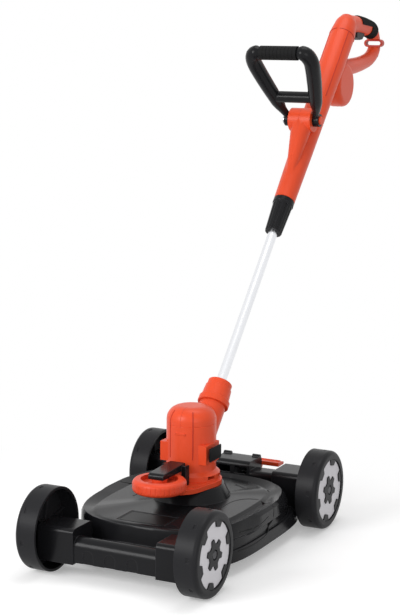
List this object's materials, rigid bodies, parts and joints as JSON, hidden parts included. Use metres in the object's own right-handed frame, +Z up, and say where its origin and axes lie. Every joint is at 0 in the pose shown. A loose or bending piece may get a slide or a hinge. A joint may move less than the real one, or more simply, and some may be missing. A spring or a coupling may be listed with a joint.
{
  "type": "wheeled string trimmer",
  "caption": "Corded string trimmer docked in a wheeled cutting deck, with a leaning telescopic tube, trigger grip, folding front handle and foot release pedal.",
  "frame": {"origin": "on the ground midway between the front and rear axles, in the middle plane", "axes": "+Z up, -Y towards the front of the machine, +Y towards the user, +X to the left of the machine"},
  "size_m": [0.426, 1.3372, 1.038],
  "materials": {
    "black_plastic": "satin moulded",
    "wheel_plastic": "satin moulded",
    "hub_plastic": "satin light grey",
    "orange_plastic": "satin moulded",
    "edge_plastic": "satin moulded",
    "retainer_plastic": "satin moulded",
    "rubber": "soft matte",
    "dark_plastic": "satin moulded",
    "tube_metal": "bright anodised",
    "steel": "zinc plated",
    "motor_iron": "laminated",
    "copper": "bare",
    "carbon": "matt",
    "line": "clear nylon"
  },
  "bodies": {
    "deck": {"deck": "black_plastic", "wheel_axles": "steel", "axle_nuts": "steel", "pedal_pin": "steel", "latch_spring": "steel", "motor_shell_left": "orange_plastic", "motor_shell_right": "orange_plastic", "motor_base": "orange_plastic", "motor_screws": "steel", "stator": "motor_iron", "brush_holders": "copper", "carbon_brushes": "carbon", "upper_bearing": "steel", "lower_bearing": "steel", "edge_bracket": "black_plastic", "edge_screw": "steel"},
    "wheel_front_left": {"wheel_front_left": "wheel_plastic", "hub_disc_front_left": "hub_plastic"},
    "wheel_front_right": {"wheel_front_right": "wheel_plastic", "hub_disc_front_right": "hub_plastic"},
    "wheel_rear_left": {"wheel_rear_left": "wheel_plastic", "hub_disc_rear_left": "hub_plastic"},
    "wheel_rear_right": {"wheel_rear_right": "wheel_plastic", "hub_disc_rear_right": "hub_plastic"},
    "spool": {"rotor": "motor_iron", "commutator": "copper", "fan": "dark_plastic", "spool_hub": "dark_plastic", "line_spool": "dark_plastic", "spool_spring": "steel", "spool_cap": "dark_plastic", "cutting_line": "line"},
    "edge_wheel": {"edge_wheel": "edge_plastic"},
    "pedal": {"pedal": "orange_plastic"},
    "latch": {"latch_bar": "dark_plastic"},
    "shaft": {"shaft_tube": "tube_metal", "tube_lead": "rubber", "stop_ring": "steel", "collar_spring": "steel"},
    "collar": {"release_collar": "orange_plastic"},
    "handle": {"handle_shell_left": "orange_plastic", "handle_shell_right": "orange_plastic", "handle_screws": "steel", "rubber_grip": "rubber", "trigger_pin": "steel", "trigger_spring": "steel", "switch": "dark_plastic", "inlet_body": "black_plastic", "inlet_blades": "copper", "cord_retainer": "retainer_plastic", "clamp_collet": "dark_plastic", "aux_bolt": "steel"},
    "twist_collar": {"twist_collar": "black_plastic"},
    "aux_handle": {"aux_loop": "black_plastic", "aux_grip": "rubber"},
    "aux_button": {"aux_button": "orange_plastic"},
    "trigger": {"trigger": "dark_plastic"}
  },
  "joints": [
    {"name": "wheel_front_left_spin", "type": "hinge", "parent": "deck", "child": "wheel_front_left", "pos_m": [0.165, -0.24, 0.08], "axis": [1, 0, 0], "continuous": true},
    {"name": "wheel_front_right_spin", "type": "hinge", "parent": "deck", "child": "wheel_front_right", "pos_m": [-0.165, -0.24, 0.08], "axis": [1, 0, 0], "continuous": true},
    {"name": "wheel_rear_left_spin", "type": "hinge", "parent": "deck", "child": "wheel_rear_left", "pos_m": [0.191, 0.24, 0.08], "axis": [1, 0, 0], "continuous": true},
    {"name": "wheel_rear_right_spin", "type": "hinge", "parent": "deck", "child": "wheel_rear_right", "pos_m": [-0.191, 0.24, 0.08], "axis": [1, 0, 0], "continuous": true},
    {"name": "spool_spin", "type": "hinge", "parent": "deck", "child": "spool", "pos_m": [0, 0.033, 0.055], "axis": [0, 0, 1], "continuous": true},
    {"name": "edge_wheel_spin", "type": "hinge", "parent": "deck", "child": "edge_wheel", "pos_m": [0, -0.101, 0.15], "axis": [0, 0, 1], "continuous": true},
    {"name": "pedal_press", "type": "hinge", "parent": "deck", "child": "pedal", "pos_m": [0, 0.291, 0.063], "axis": [1, 0, 0], "range_deg": [-15, 0], "stiffness_Nm_per_rad": 2, "springref_deg": 11.46},
    {"name": "latch_slide", "type": "slide", "parent": "deck", "child": "latch", "axis": [0, 1, 0], "range_m": [0, 0.006], "deforming": ["latch_spring"]},
    {"name": "shaft_twist", "type": "hinge", "parent": "deck", "child": "shaft", "pos_m": [0, 0.033, 0.1534], "axis": [0, 0.6717, 0.7408], "range_deg": [0, 180]},
    {"name": "collar_slide", "type": "slide", "parent": "shaft", "child": "collar", "axis": [0, 0.6717, 0.7408], "range_m": [0, 0.008], "stiffness_N_per_m": 600, "springref_m": -0.008, "deforming": ["collar_spring"]},
    {"name": "telescope", "type": "slide", "parent": "shaft", "child": "handle", "axis": [0, 0.6717, 0.7408], "range_m": [-0.15, 0.05]},
    {"name": "twist_collar_turn", "type": "hinge", "parent": "handle", "child": "twist_collar", "pos_m": [0, 0.41548, 0.57521], "axis": [0, 0.6717, 0.7408], "range_deg": [0, 60]},
    {"name": "aux_pivot", "type": "hinge", "parent": "handle", "child": "aux_handle", "pos_m": [0, 0.56868, 0.8067], "axis": [1, 0, 0], "range_deg": [-40, 30]},
    {"name": "aux_button_press", "type": "slide", "parent": "aux_handle", "child": "aux_button", "axis": [-1, 0, 0], "range_m": [0, 0.003], "stiffness_N_per_m": 800, "springref_m": -0.003},
    {"name": "trigger_squeeze", "type": "hinge", "parent": "handle", "child": "trigger", "pos_m": [0, 0.9156, 1.00069], "axis": [1, 0, 0], "range_deg": [-10, 0], "stiffness_Nm_per_rad": 0.6, "springref_deg": 11.46, "deforming": ["trigger_spring"]}
  ],
  "couplings": [
    {"joint": "latch_slide", "follows": "pedal_press", "m_per_rad": -0.019}
  ]
}
